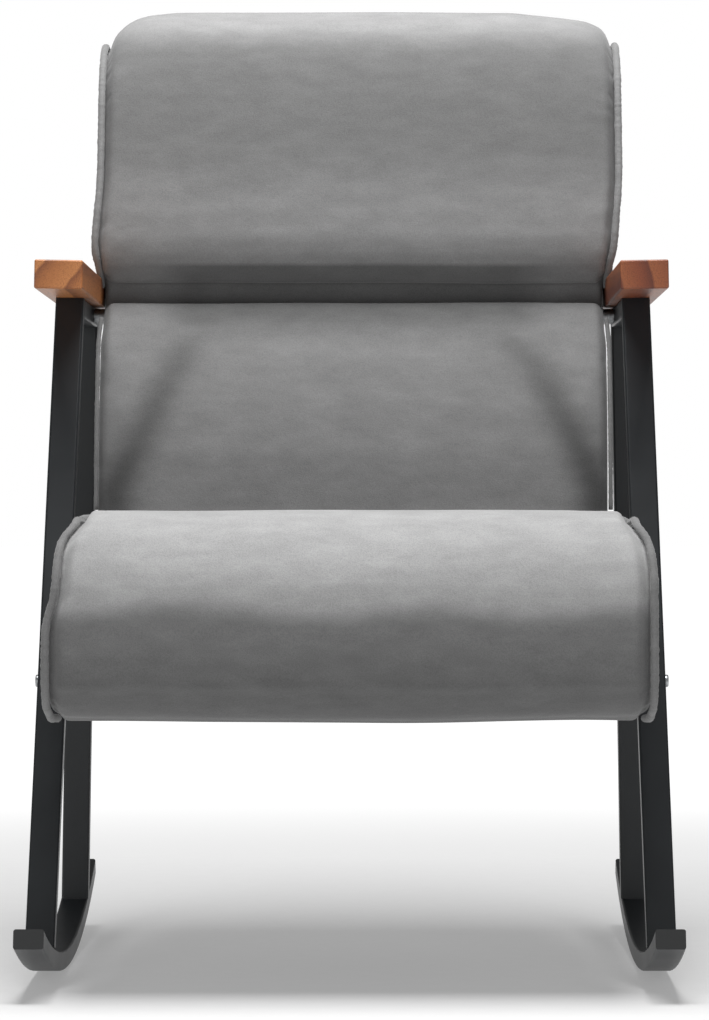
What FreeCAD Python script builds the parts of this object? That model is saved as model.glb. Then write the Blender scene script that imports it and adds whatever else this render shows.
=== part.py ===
import FreeCAD, Part
import math
import os

# Upholstered rocking chair: two welded steel side frames on curved rockers, wooden
# armrests, and a padded seat box and padded back bolted between the side frames.
# Millimetres, +Z up, the sitter faces -Y, X = 0 is the plane of symmetry.
# Y is measured from the line where the rockers touch the floor until export, when the
# whole chair is moved so that its origin is the bottom centre of its bounding box.

V = FreeCAD.Vector

# Steel tube of the side frames
tube_width = 30.0            # along X
tube_height = 20.0           # across the tube, in the plane of the side frame
tube_wall = 2.0
tube_corner = 2.5
frame_outer_width = 660.0    # over both rockers
frame_lean = 1.03            # degrees by which each side frame leans in above its rocker

# Rockers
rocker_radius = 1260.0       # underside
rocker_front_reach = 365.0   # floor contact to front tip
rocker_rear_reach = 380.0    # floor contact to rear tip
cap_flange = 2.5
cap_spigot = 14.0
cap_clearance = 0.2

# Legs: centre line where it would meet the floor, and lean to the rear
front_foot_y = -246.8
front_leg_lean = 20.6
rear_leg_setback = 183.4     # foot of the rear leg behind the top rear edge of the seat
rear_leg_lean = -1.3

# Armrests and the rails below them
arm_front_y = -153.0
arm_height = 712.0           # underside at the front end
arm_slope = 0.8              # degrees down to the rear
arm_behind_leg = 10.5        # rear end behind the rear leg's centre line
arm_width = 50.0
arm_thickness = 30.0
arm_rounding = 2.0
arm_screw_count = 3
arm_screw_diameter = 4.5
arm_screw_length = 24.0
arm_screw_head = 9.0
arm_screw_head_height = 3.0
screw_access = 11.0

# Seat box, in its own frame: s runs rearwards from the front, h runs up from the bottom
seat_front_y = -360.0
seat_front_z = 283.0
seat_tilt = 3.0
seat_height = 204.0
seat_depth = 424.0           # front to the face of the back, along the top
seat_roll_overhang = 10.0    # front roll beyond the sides of the seat body
seat_roll_depth = 180.0      # part of the seat that is wider, in front of the legs
seat_top_radius = 90.0
seat_bottom_radius = 50.0
seat_deck = 100.0            # top of the seat box under the back
seat_behind_back = 6.0       # seat box beyond the rear of the back
frame_gap = 3.5              # side frame to the top edge of the seat body
seat_rail_height = 36.0      # middle of the steel seat rail above the bottom of the seat box

# Back, in its own frame: n runs rearwards from its face, t runs up from the seat's top
back_lean = 13.0
back_height = 601.0
back_thickness = 90.0
arm_gap = 0.5                # armrest to the waist of the back
head_overhang = 6.0          # head roll beyond the sides of the lower back
head_bulge = 28.0
waist_height = 268.0
waist_depth = 24.0
lumbar_bulge = 12.0
head_over_arm = 6.0          # clear height between armrest and head roll

# Upholstery
fabric = 2.0
soft_gap = 0.5
piping_radius = 4.0
lower_piping_radius = 2.5    # thinner welt of the lower back
panel_gap = 0.4
strap_thickness = 1.5
strap_width = 50.0
seat_cross_straps = 5
seat_long_straps = 4
back_straps_below_waist = 3
back_straps_above_waist = 3

# Timber inside the upholstery
timber = 22.0
stile_width = 20.0           # along X
rail_bottom = 4.0            # seat rails above the bottom of the cover
front_rail_setback = 60.0
corner_block = 55.0
stile_depth = 45.0
stile_face = 42.0            # face of the back to the front of the stiles
back_top_rail = 511.0
back_middle_rail = 170.0
back_rail_height = 45.0
back_frame_top = 556.0

# Fasteners of the frame
bolt_diameter = 8.0
bolt_head = 13.0
bolt_head_height = 4.5
bolt_socket = 5.0
washer_diameter = 18.0
washer_thickness = 1.6
bolt_clearance = 0.5
spacer_diameter = 16.0
tee_nut_flange = 20.0
tee_nut_flange_thickness = 1.5
tee_nut_barrel = 10.0
lean_clearance = 0.3               # where a leaning fastener meets upright timber
seat_bolt_places = (270.0, 400.0)  # behind the front of the seat
back_bolt_depths = (53.0, 76.0)    # behind the face of the back
plate_thickness = 3.0
plate_screw = 4.5
plate_screw_length = 18.0
plate_screw_head = 9.0
plate_screw_head_height = 2.5

# Worked out from the values above
frame_outer = frame_outer_width / 2
frame_inner = frame_outer - tube_width
tube_x = frame_outer - tube_width / 2
far = 2000.0


class Plane2D:
    """A tilted frame in the YZ plane: a runs rearwards, b runs up, tilted by angle."""

    def __init__(self, y, z, angle):
        self.y = y
        self.z = z
        self.cos = math.cos(math.radians(angle))
        self.sin = math.sin(math.radians(angle))
        self.angle = angle

    def point(self, a, b):
        return V(0, self.y + a * self.cos + b * self.sin, self.z - a * self.sin + b * self.cos)

    def local(self, point):
        dy = point.y - self.y
        dz = point.z - self.z
        return dy * self.cos - dz * self.sin, dy * self.sin + dz * self.cos

    def place(self, shape):
        """Tilt and move a shape modelled with a along Y and b along Z."""
        placed = shape.copy()
        placed.rotate(V(0, 0, 0), V(1, 0, 0), -self.angle)
        placed.translate(V(0, self.y, self.z))
        return placed


seat_frame = Plane2D(seat_front_y, seat_front_z, seat_tilt)
arm_frame = Plane2D(arm_front_y, arm_height, arm_slope)
seat_top_rear = seat_frame.point(seat_depth, seat_height)
back_frame = Plane2D(seat_top_rear.y, seat_top_rear.z, back_lean)
rear_foot_y = seat_top_rear.y + rear_leg_setback
rear_leg_top_y = rear_foot_y + arm_height * math.tan(math.radians(rear_leg_lean))
arm_length = (rear_leg_top_y + arm_behind_leg - arm_front_y) / math.cos(math.radians(arm_slope))
lean_cos = math.cos(math.radians(frame_lean))
lean_sin = math.sin(math.radians(frame_lean))


def leaned_x(x, z):
    """X of a point of the left side frame once the frame leans in."""
    return tube_x + (x - tube_x) * lean_cos - z * lean_sin


def upright_x(x, z):
    """The X that comes to lie at x, at height z, once the left side frame leans in."""
    return tube_x + (x - tube_x + z * lean_sin) / lean_cos


seat_half_width = leaned_x(frame_inner, seat_front_z + seat_height) - frame_gap
seat_roll_half_width = seat_half_width + seat_roll_overhang
back_half_width = leaned_x(tube_x - arm_width / 2, arm_height + arm_thickness) - arm_gap
head_half_width = back_half_width + head_overhang
inner_face = back_half_width - fabric - stile_width   # inner face of seat rails and back stiles


def box(x0, x1, y0, y1, z0, z1):
    return Part.makeBox(x1 - x0, y1 - y0, z1 - z0, V(x0, y0, z0))


def rod(x0, x1, y, z, diameter):
    """A round bar along X."""
    return Part.makeCylinder(diameter / 2, x1 - x0, V(x0, y, z), V(1, 0, 0))


def mirrored(shape):
    return shape.mirror(V(0, 0, 0), V(1, 0, 0))


def both_sides(shapes):
    """The left shapes with their mirror images, as one group."""
    return Part.makeCompound(list(shapes) + [mirrored(shape) for shape in shapes])


def lean_in(shape):
    """Lean a piece of the left side frame in towards the seat."""
    leaning = shape.copy()
    leaning.rotate(V(tube_x, 0, 0), V(0, 1, 0), -frame_lean)
    return leaning


def polygon_face(points):
    return Part.Face(Part.makePolygon(list(points) + [points[0]]))


def thick(face, x0, x1):
    """A face in the YZ plane, extruded from x0 to x1."""
    moved = face.copy()
    moved.translate(V(x0, 0, 0))
    return moved.extrude(V(x1 - x0, 0, 0))


def line(a, b):
    return Part.LineSegment(a, b).toShape()


def arc(a, middle, b):
    return Part.Arc(a, middle, b).toShape()


# ---------------------------------------------------------------- side frames

def rounded_rectangle(width, height, radius):
    """A face centred on the origin in the XY plane."""
    blank = Part.makeBox(width, height, 1.0, V(-width / 2, -height / 2, 0))
    upright = [edge for edge in blank.Edges if abs(edge.tangentAt(edge.FirstParameter).z) > 0.9]
    rounded = blank.makeFillet(radius, upright)
    return min(rounded.Faces, key=lambda face: face.CenterOfMass.z)


def tube_section():
    outer = rounded_rectangle(tube_width, tube_height, tube_corner)
    inner_corner = max(tube_corner - tube_wall, tube_corner / 4)
    inner = rounded_rectangle(tube_width - 2 * tube_wall, tube_height - 2 * tube_wall, inner_corner)
    return outer.cut(inner).Faces[0]


def straight_tube(section):
    """A long tube along Z through the origin."""
    start = section.copy()
    start.translate(V(0, 0, -far / 4))
    return start.extrude(V(0, 0, far))


def rocker_angle(reach):
    return math.degrees(math.asin(reach / rocker_radius))


def make_rocker():
    front = rocker_angle(rocker_front_reach)
    rear = rocker_angle(rocker_rear_reach)
    section = tube_section()
    section.rotate(V(0, 0, 0), V(1, 0, 0), 90)
    section.translate(V(tube_x, 0, tube_height / 2))
    section.rotate(V(0, 0, rocker_radius), V(1, 0, 0), -front)
    return section.revolve(V(0, 0, rocker_radius), V(1, 0, 0), front + rear)


def leg_face_y(foot_y, lean, z, side):
    """Y of a leg's front (side -1) or rear (side +1) face at height z."""
    slope = math.tan(math.radians(lean))
    half = tube_height / 2 / math.cos(math.radians(lean))
    return foot_y + z * slope + side * half


def make_leg(foot_y, lean):
    """A leg from the rocker's top surface to the underside of the armrest."""
    leg = straight_tube(tube_section())
    leg.rotate(V(0, 0, 0), V(1, 0, 0), -lean)
    leg.translate(V(tube_x, foot_y, 0))
    on_rocker = Part.makeCylinder(
        rocker_radius - tube_height, tube_width * 2, V(tube_x - tube_width, 0, rocker_radius), V(1, 0, 0)
    )
    above_arm = arm_frame.place(box(0, frame_outer * 2, -far, far, 0, far))
    return lean_in(leg.cut(above_arm)).common(on_rocker)


def rail_between_legs(frame, height):
    """A tube between the front and rear legs, along a tilted frame, before it leans in."""
    rail = straight_tube(tube_section())
    rail.rotate(V(0, 0, 0), V(1, 0, 0), -90)
    rail.translate(V(tube_x, 0, height))
    rail = frame.place(rail)
    low = frame.z - 5 * tube_height
    high = frame.z + 5 * tube_height
    between = polygon_face([
        V(0, leg_face_y(front_foot_y, front_leg_lean, low, 1), low),
        V(0, leg_face_y(front_foot_y, front_leg_lean, high, 1), high),
        V(0, leg_face_y(rear_foot_y, rear_leg_lean, high, -1), high),
        V(0, leg_face_y(rear_foot_y, rear_leg_lean, low, -1), low),
    ])
    return rail.common(thick(between, frame_inner - 1, frame_outer + 1))


def make_arm_rail():
    """The rail under the armrest."""
    rail = rail_between_legs(arm_frame, -tube_height / 2)
    for along in arm_screw_places():
        rail = rail.cut(arm_cylinder(along, -tube_wall - 1, 1, arm_screw_diameter))
        rail = rail.cut(arm_cylinder(along, -tube_height - 1, -tube_height + tube_wall + 1, screw_access))
    return lean_in(drill(rail, back_bolts(), 0, far, bolt_diameter + bolt_clearance))


def make_seat_rail():
    """The rail beside the seat box that carries it."""
    rail = rail_between_legs(seat_frame, seat_rail_height)
    return lean_in(drill(rail, seat_bolts(), 0, far, bolt_diameter + bolt_clearance))


def make_end_cap():
    """A plug for a tube's end: flange outside, spigot inside, facing +Z at the origin."""
    flange = rounded_rectangle(tube_width, tube_height, tube_corner).extrude(V(0, 0, cap_flange))
    spigot_width = tube_width - 2 * tube_wall - 2 * cap_clearance
    spigot_height = tube_height - 2 * tube_wall - 2 * cap_clearance
    spigot = box(-spigot_width / 2, spigot_width / 2, -spigot_height / 2, spigot_height / 2, -cap_spigot, 0)
    core = box(
        -spigot_width / 2 + tube_wall, spigot_width / 2 - tube_wall,
        -spigot_height / 2 + tube_wall, spigot_height / 2 - tube_wall, -cap_spigot, 0
    )
    return flange.fuse(spigot.cut(core)).removeSplitter()


def make_rocker_caps():
    caps = []
    for reach, direction in ((rocker_front_reach, -1), (rocker_rear_reach, 1)):
        cap = make_end_cap()
        cap.rotate(V(0, 0, 0), V(1, 0, 0), -90 * direction)
        cap.translate(V(tube_x, 0, tube_height / 2))
        cap.rotate(V(0, 0, rocker_radius), V(1, 0, 0), direction * rocker_angle(reach))
        caps.append(cap)
    return caps


# ---------------------------------------------------------------- armrests

def arm_screw_places():
    """Distances along the armrest at which screws come up through the rail."""
    front, _ = arm_frame.local(V(0, leg_face_y(front_foot_y, front_leg_lean, arm_height, 1), arm_height))
    rear, _ = arm_frame.local(V(0, leg_face_y(rear_foot_y, rear_leg_lean, arm_height, -1), arm_height))
    pitch = (rear - front) / arm_screw_count
    return [front + pitch * (index + 0.5) for index in range(arm_screw_count)]


def arm_cylinder(along, bottom, top, diameter):
    upright = Part.makeCylinder(diameter / 2, top - bottom, V(tube_x, along, bottom))
    return arm_frame.place(upright)


def make_armrest():
    block = box(tube_x - arm_width / 2, tube_x + arm_width / 2, 0, arm_length, 0, arm_thickness)
    rest = arm_frame.place(block.makeFillet(arm_rounding, block.Edges))
    for along in arm_screw_places():
        pilot_top = arm_screw_length - tube_wall
        rest = rest.cut(arm_cylinder(along, -1, pilot_top, arm_screw_diameter))
    return lean_in(rest)


def make_arm_screws():
    screws = []
    for along in arm_screw_places():
        shank = arm_cylinder(along, -tube_wall, arm_screw_length - tube_wall, arm_screw_diameter)
        head_bottom = -tube_wall - arm_screw_head_height
        head = arm_cylinder(along, head_bottom, -tube_wall, arm_screw_head)
        screws.append(lean_in(shank.fuse(head).removeSplitter()))
    return screws


# ---------------------------------------------------------------- frame bolts

def rail_bolt_point(depth):
    """The point on the arm rail's centre line that lies at a depth behind the back's face."""
    start_n, _ = back_frame.local(arm_frame.point(0, -tube_height / 2))
    end_n, _ = back_frame.local(arm_frame.point(far, -tube_height / 2))
    share = (depth - start_n) / (end_n - start_n)
    return arm_frame.point(far * share, -tube_height / 2)


def seat_bolts():
    return [seat_frame.point(place, seat_rail_height) for place in seat_bolt_places]


def back_bolts():
    return [rail_bolt_point(depth) for depth in back_bolt_depths]


def drill(shape, points, x0, x1, diameter):
    for point in points:
        shape = shape.cut(rod(x0, x1, point.y, point.z, diameter))
    return shape


def drill_leaning(shape, points, x0, x1, diameter):
    """Bore for the frame's bolts, which lean with the side frame."""
    for point in points:
        shape = shape.cut(lean_in(rod(x0, x1, point.y, point.z, diameter)))
    return shape


def make_bolt(point):
    """A bolt from outside the side frame into the timber."""
    head_seat = frame_outer + washer_thickness
    end = upright_x(inner_face, point.z) - tee_nut_flange_thickness
    shank = rod(end, head_seat, point.y, point.z, bolt_diameter)
    head = rod(head_seat, head_seat + bolt_head_height, point.y, point.z, bolt_head)
    dome = [edge for edge in head.Edges if edge.BoundBox.XMin > head_seat + bolt_head_height - 0.1]
    head = head.makeFillet(bolt_head_height * 0.4, dome)
    socket = rod(
        head_seat + bolt_head_height / 2, head_seat + 2 * bolt_head_height, point.y, point.z, bolt_socket
    )
    return lean_in(shank.fuse(head).cut(socket))


def make_washer(point):
    disc = rod(frame_outer, frame_outer + washer_thickness, point.y, point.z, washer_diameter)
    return lean_in(drill(disc, [point], frame_inner, far, bolt_diameter + bolt_clearance))


def make_spacer(point, timber_face):
    start = upright_x(timber_face, point.z) + lean_clearance
    sleeve = rod(start, frame_inner, point.y, point.z, spacer_diameter)
    return lean_in(drill(sleeve, [point], 0, far, bolt_diameter + bolt_clearance))


def make_tee_nut(point):
    face = upright_x(inner_face, point.z) - lean_clearance
    flange = rod(face - tee_nut_flange_thickness, face, point.y, point.z, tee_nut_flange)
    barrel = rod(face, face + timber / 2, point.y, point.z, tee_nut_barrel)
    return lean_in(drill(flange.fuse(barrel), [point], 0, far, bolt_diameter))


def bore_timber(shape, points):
    """Bolt holes and tee nut pockets in a seat rail or a back stile."""
    shape = drill_leaning(shape, points, 0, frame_outer, bolt_diameter + bolt_clearance)
    for point in points:
        pocket_end = upright_x(inner_face, point.z) + timber / 2
        shape = drill_leaning(shape, [point], 0, pocket_end, tee_nut_barrel)
    return shape


# ---------------------------------------------------------------- seat

def seat_s_at_back(h, n):
    """How far back, at height h of the seat, lies the plane at depth n of the back."""
    start_n, _ = back_frame.local(seat_frame.point(0, h))
    end_n, _ = back_frame.local(seat_frame.point(far, h))
    return far * (n - start_n) / (end_n - start_n)


seat_box_length = seat_s_at_back(seat_deck, back_thickness) + seat_behind_back


def seat_edges(inset):
    """Side outline of the seat body, moved inwards by inset, as a list of edges."""
    point = seat_frame.point
    top = seat_height - inset
    deck = seat_deck - inset
    upper = seat_top_radius - inset
    lower = seat_bottom_radius - inset
    slant = math.sqrt(0.5)
    rear = seat_box_length - inset
    back_face = -soft_gap - inset
    deck_s = seat_s_at_back(deck, back_face)
    top_s = seat_s_at_back(top, back_face)
    upper_arc = arc(
        point(seat_top_radius, top),
        point(seat_top_radius - upper * slant, seat_height - seat_top_radius + upper * slant),
        point(inset, seat_height - seat_top_radius),
    )
    lower_arc = arc(
        point(inset, seat_bottom_radius),
        point(seat_bottom_radius - lower * slant, seat_bottom_radius - lower * slant),
        point(seat_bottom_radius, inset),
    )
    return [
        line(point(top_s, top), point(seat_top_radius, top)),
        upper_arc,
        line(point(inset, seat_height - seat_top_radius), point(inset, seat_bottom_radius)),
        lower_arc,
        line(point(seat_bottom_radius, inset), point(rear, inset)),
        line(point(rear, inset), point(rear, deck)),
        line(point(rear, deck), point(deck_s, deck)),
        line(point(deck_s, deck), point(top_s, top)),
    ]


def seat_face(inset):
    return Part.Face(Part.Wire(seat_edges(inset)))


def seat_region(s0, s1, h0, h1):
    """A rectangle of the seat's frame, as a face."""
    point = seat_frame.point
    return polygon_face([point(s0, h0), point(s1, h0), point(s1, h1), point(s0, h1)])


def seat_block(x0, x1, s0, s1, h0, h1):
    return seat_frame.place(box(x0, x1, s0, s1, h0, h1))


def seat_body(inset):
    """The seat's soft outline as a solid: wider in front of the legs."""
    profile = seat_face(inset)
    main = thick(profile, -seat_half_width + inset, seat_half_width - inset)
    front = profile.common(seat_region(-far, seat_roll_depth - inset, -far, far))
    roll = thick(front, -seat_roll_half_width + inset, seat_roll_half_width - inset)
    return main.fuse(roll).removeSplitter()


rail_top = seat_deck - fabric - 2 * strap_thickness
rear_rail_s = seat_box_length - fabric - timber
plate_foot_s = rear_rail_s - stile_depth / 2
panel_front = front_rail_setback + timber
panel_rear = rear_rail_s
panel_half = inner_face - timber / 2


def pierce(cover, points):
    """Holes in both sides of a cover for the spacers behind the frame's bolts."""
    diameter = spacer_diameter + bolt_clearance
    cover = drill_leaning(cover, points, 0, far, diameter)
    return mirrored(drill_leaning(mirrored(cover), points, 0, far, diameter))


def make_seat_cover():
    shell = seat_body(0).cut(seat_body(fabric))
    opening = seat_block(-panel_half, panel_half, panel_front, panel_rear, -1, fabric + 1)
    shell = shell.cut(opening)
    return pierce(shell, seat_bolts())


def make_dust_cover():
    return seat_block(
        -panel_half + panel_gap, panel_half - panel_gap,
        panel_front + panel_gap, panel_rear - panel_gap, 0, fabric
    )


def make_seat_side_rail():
    rail = seat_block(
        inner_face, seat_half_width - fabric, front_rail_setback, rear_rail_s, rail_bottom, rail_top
    )
    return bore_timber(rail, seat_bolts())


def make_seat_front_rail():
    return seat_block(-inner_face, inner_face, front_rail_setback, panel_front, rail_bottom, rail_top)


def make_seat_rear_rail():
    half = seat_half_width - fabric
    return seat_block(-half, half, rear_rail_s, rear_rail_s + timber, rail_bottom, rail_top)


def make_corner_blocks():
    """Triangular glue blocks in the four inner corners of the seat box."""
    blocks = []
    for corner_s, direction in ((panel_front, 1), (rear_rail_s, -1)):
        base = polygon_face([
            V(inner_face, corner_s, rail_bottom),
            V(inner_face - corner_block, corner_s, rail_bottom),
            V(inner_face, corner_s + direction * corner_block, rail_bottom),
        ])
        blocks.append(seat_frame.place(base.extrude(V(0, 0, timber))))
    return blocks


def make_cross_straps():
    """Webbing across the seat box, side rail to side rail."""
    half = seat_half_width - fabric - timber / 4
    first = panel_front
    last = seat_s_at_back(seat_deck, 0)
    pitch = (last - first) / seat_cross_straps
    straps = []
    for index in range(seat_cross_straps):
        middle = first + pitch * (index + 0.5)
        straps.append(seat_block(
            -half, half, middle - strap_width / 2, middle + strap_width / 2,
            rail_top, rail_top + strap_thickness
        ))
    return straps


def make_long_straps():
    """Webbing from the front rail to the rear rail, over the cross straps."""
    pitch = 2 * inner_face / seat_long_straps
    straps = []
    for index in range(seat_long_straps):
        middle = -inner_face + pitch * (index + 0.5)
        over = rail_top + strap_thickness
        web = seat_block(
            middle - strap_width / 2, middle + strap_width / 2,
            front_rail_setback + 2, rear_rail_s + timber / 2, over, over + strap_thickness
        )
        for start in (front_rail_setback + 2, rear_rail_s + 2):
            foot = seat_block(
                middle - strap_width / 2, middle + strap_width / 2,
                start, start + timber / 2 - 2, rail_top, over
            )
            web = web.fuse(foot)
        straps.append(web.removeSplitter())
    return straps


def make_seat_foam():
    """The seat cushion's block of foam, on the webbing and up to the back."""
    front = front_rail_setback
    area = seat_face(fabric + soft_gap)
    area = area.common(seat_region(front, far, seat_deck - fabric + soft_gap, far))
    half = seat_half_width - fabric - soft_gap
    return thick(area, -half, half)


def make_front_roll():
    """The roll of foam in front of the seat box."""
    area = seat_face(fabric + soft_gap)
    area = area.common(seat_region(-far, front_rail_setback - soft_gap, -far, far))
    half = seat_roll_half_width - fabric - soft_gap
    return thick(area, -half, half)


def pipe(edges, side, radius):
    """A cord of welt piping along a chain of edges, against the side of a cushion."""
    path = Part.Wire(edges)
    path.translate(V(side + radius, 0, 0))
    start = path.OrderedVertexes[0].Point
    first = path.OrderedEdges[0]
    tangent = first.tangentAt(first.FirstParameter)
    ring = Part.Wire(Part.makeCircle(radius, start, tangent))
    return path.makePipeShell([ring], True, False)


def make_seat_piping():
    """Welt along the edge of the seat's front, from the top to the underside."""
    edges = seat_edges(0)
    point = seat_frame.point
    top_end = min(seat_roll_depth, seat_depth) - soft_gap
    bottom_end = seat_roll_depth - soft_gap
    chain = [
        line(point(top_end, seat_height), point(seat_top_radius, seat_height)),
        edges[1], edges[2], edges[3],
        line(point(seat_bottom_radius, 0), point(bottom_end, 0)),
    ]
    return pipe(chain, seat_roll_half_width, piping_radius)


# ---------------------------------------------------------------- back

def back_t_at_deck(n, lift):
    """How far down, at depth n of the back, lies the seat's deck raised by lift."""
    _, start_h = seat_frame.local(back_frame.point(n, 0))
    _, end_h = seat_frame.local(back_frame.point(n, -far))
    return -far * (start_h - seat_deck - lift) / (start_h - end_h)


def back_outline():
    """Side outline of the back: lower back, waist, head roll, rear."""
    point = back_frame.point
    low = waist_height * 0.08
    shoulder = waist_height - waist_depth * 1.4
    head_low = waist_height + 2.2 * head_bulge
    head_high = back_height * 0.84
    rear = back_thickness
    crown = rear * 0.45
    front_bottom = point(0, back_t_at_deck(0, soft_gap))
    rear_bottom = point(rear, back_t_at_deck(rear, soft_gap))
    crease = point(waist_depth, waist_height)
    return [
        line(front_bottom, point(0, low)),
        arc(point(0, low), point(-lumbar_bulge, (low + shoulder) / 2), point(0, shoulder)),
        arc(point(0, shoulder), point(waist_depth * 0.36, waist_height - waist_depth * 0.36), crease),
        arc(crease, point(-head_bulge * 0.35, waist_height + head_bulge * 0.75), point(-head_bulge, head_low)),
        line(point(-head_bulge, head_low), point(-head_bulge, head_high)),
        arc(point(-head_bulge, head_high), point(-head_bulge * 0.14, back_height * 0.965),
            point(crown, back_height)),
        arc(point(crown, back_height), point(rear * 0.87, back_height * 0.982),
            point(rear, back_height * 0.95)),
        line(point(rear, back_height * 0.95), rear_bottom),
        line(rear_bottom, front_bottom),
    ]


def back_face(inset):
    face = Part.Face(Part.Wire(back_outline()))
    if inset == 0:
        return face
    return face.makeOffset2D(-inset)


def back_region(n0, n1, t0, t1):
    point = back_frame.point
    return polygon_face([point(n0, t0), point(n1, t0), point(n1, t1), point(n0, t1)])


def back_block(x0, x1, n0, n1, t0, t1):
    return back_frame.place(box(x0, x1, n0, n1, t0, t1))


def above_arms(extra):
    """The region higher than the armrests by the head's clearance and extra."""
    low = arm_thickness + head_over_arm + extra
    point = arm_frame.point
    return polygon_face([point(-far, low), point(far, low), point(far, far), point(-far, far)])


def back_body(inset):
    """The back's soft outline as a solid: wider above the armrests."""
    profile = back_face(inset)
    main = thick(profile, -back_half_width + inset, back_half_width - inset)
    head = profile.common(above_arms(inset))
    return main.fuse(thick(head, -head_half_width + inset, head_half_width - inset)).removeSplitter()


stile_rear = stile_face + stile_depth
back_bottom_rail = back_t_at_deck(stile_face + timber, 0) + fabric + 2 * soft_gap
rear_panel_bottom = back_t_at_deck(back_thickness, 0) + back_rail_height
rear_panel_top = back_frame_top - back_rail_height
plate_top = back_bottom_rail + back_rail_height + 1.2 * stile_depth


def make_back_cover():
    shell = back_body(0).cut(back_body(fabric))
    opening = back_block(
        -panel_half, panel_half, back_thickness - fabric - 1, back_thickness + 1,
        rear_panel_bottom, rear_panel_top
    )
    return pierce(shell.cut(opening), back_bolts())


def make_rear_panel():
    return back_block(
        -panel_half + panel_gap, panel_half - panel_gap, back_thickness - fabric, back_thickness,
        rear_panel_bottom + panel_gap, rear_panel_top - panel_gap
    )


def make_back_stile():
    """An upright of the back, standing on the seat's side rail."""
    bottom = back_face(fabric).common(back_region(stile_face, stile_rear, -far, back_frame_top))
    stile = thick(bottom, inner_face, back_half_width - fabric)
    return bore_timber(stile, back_bolts())


def make_back_rail(t0):
    return back_block(-inner_face, inner_face, stile_face, stile_face + timber, t0, t0 + back_rail_height)


def make_back_bottom_rail():
    return make_back_rail(back_bottom_rail)


def make_back_straps():
    """Webbing across the back, stapled to the faces of the stiles."""
    half = back_half_width - fabric - timber / 4
    lowest = back_t_at_deck(stile_face, 0) + back_rail_height
    straps = []
    for first, last, count in (
        (lowest, waist_height, back_straps_below_waist),
        (waist_height, back_top_rail, back_straps_above_waist),
    ):
        pitch = (last - first) / count
        for index in range(count):
            middle = first + pitch * (index + 0.5)
            straps.append(back_block(
                -half, half, stile_face - strap_thickness, stile_face,
                middle - strap_width / 2, middle + strap_width / 2
            ))
    return straps


def make_back_foam():
    """The lower back's foam, in front of the webbing."""
    front_of_straps = stile_face - strap_thickness - soft_gap
    area = back_face(fabric + soft_gap)
    area = area.common(back_region(-far, front_of_straps, -far, waist_height - soft_gap))
    half = back_half_width - fabric - soft_gap
    return thick(area, -half, half)


def make_head_foam():
    """The head roll's filling, in front of the webbing."""
    front_of_straps = stile_face - strap_thickness - soft_gap
    area = back_face(fabric + soft_gap)
    area = area.common(back_region(-far, front_of_straps, waist_height + soft_gap, far))
    main_half = back_half_width - fabric - soft_gap
    wide_half = head_half_width - fabric - soft_gap
    upper = area.common(above_arms(fabric + soft_gap))
    return thick(area, -main_half, main_half).fuse(thick(upper, -wide_half, wide_half)).removeSplitter()


def make_back_piping():
    """Welt round the edge of the head roll, above the armrest."""
    low = arm_thickness + head_over_arm + soft_gap
    rim = []
    for edge in back_face(0).common(above_arms(soft_gap)).Edges:
        middle = edge.valueAt((edge.FirstParameter + edge.LastParameter) / 2)
        _, height = arm_frame.local(middle)
        if height > low + 1:
            rim.append(edge)
    return pipe(Part.sortEdges(rim)[0], head_half_width, piping_radius)


def make_lower_back_piping():
    """Welt along the edge of the lower back, from the seat up to the armrest."""
    point = arm_frame.point
    top = -lower_piping_radius
    under_arm = polygon_face([point(-far, -far), point(far, -far), point(far, top), point(-far, top)])
    area = back_face(0).common(back_region(-far, stile_face, 2 * soft_gap, far)).common(under_arm)
    rim = []
    for edge in area.Edges:
        middle_n, _ = back_frame.local(edge.valueAt((edge.FirstParameter + edge.LastParameter) / 2))
        if middle_n < stile_face / 4:
            rim.append(edge)
    return pipe(Part.sortEdges(rim)[0], back_half_width, lower_piping_radius)


# ---------------------------------------------------------------- back to seat plates

def plate_screw_points():
    """Screw centres of a joining plate: two in the seat rail, two in the stile."""
    stile_middle = (stile_face + stile_rear) / 2
    low = (rail_bottom + rail_top) / 2
    foot_top = plate_top - stile_depth / 4
    return [
        seat_frame.point(plate_foot_s - stile_depth / 4, low),
        seat_frame.point(plate_foot_s + stile_depth / 4, low),
        back_frame.point(stile_middle, foot_top),
        back_frame.point(stile_middle, foot_top - stile_depth / 2),
    ]


def plate_outline():
    stile_middle = (stile_face + stile_rear) / 2
    half = stile_depth / 2 - 1
    low = rail_bottom + timber + 1
    outline = polygon_face([
        seat_frame.point(plate_foot_s - half, low),
        seat_frame.point(plate_foot_s + half, low),
        back_frame.point(stile_middle + half, plate_top),
        back_frame.point(stile_middle - half, plate_top),
    ])
    rail_notch = back_region(
        stile_face - 1, stile_face + timber + 1, back_bottom_rail - 1, back_bottom_rail + back_rail_height + 1
    )
    rear_rail = seat_region(rear_rail_s - soft_gap, seat_box_length, 0, rail_top + soft_gap)
    before_stile = back_region(-far, stile_face, -far, far)
    over_seat_box = seat_region(-far, far, rail_top, far)
    return outline.cut(rail_notch).cut(rear_rail).cut(before_stile.common(over_seat_box))


def make_joining_plate():
    plate = thick(plate_outline(), inner_face - plate_thickness, inner_face)
    return drill(plate, plate_screw_points(), 0, far, plate_screw)


def slotted(cover):
    """A cover with slots where the joining plates pass through it."""
    slot = thick(plate_outline(), inner_face - plate_thickness - panel_gap, inner_face + panel_gap)
    return cover.cut(slot).cut(mirrored(slot))


def make_plate_screw(point):
    head_face = inner_face - plate_thickness
    shank = rod(head_face, head_face + plate_screw_length, point.y, point.z, plate_screw)
    head = rod(head_face - plate_screw_head_height, head_face, point.y, point.z, plate_screw_head)
    return shank.fuse(head).removeSplitter()


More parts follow.
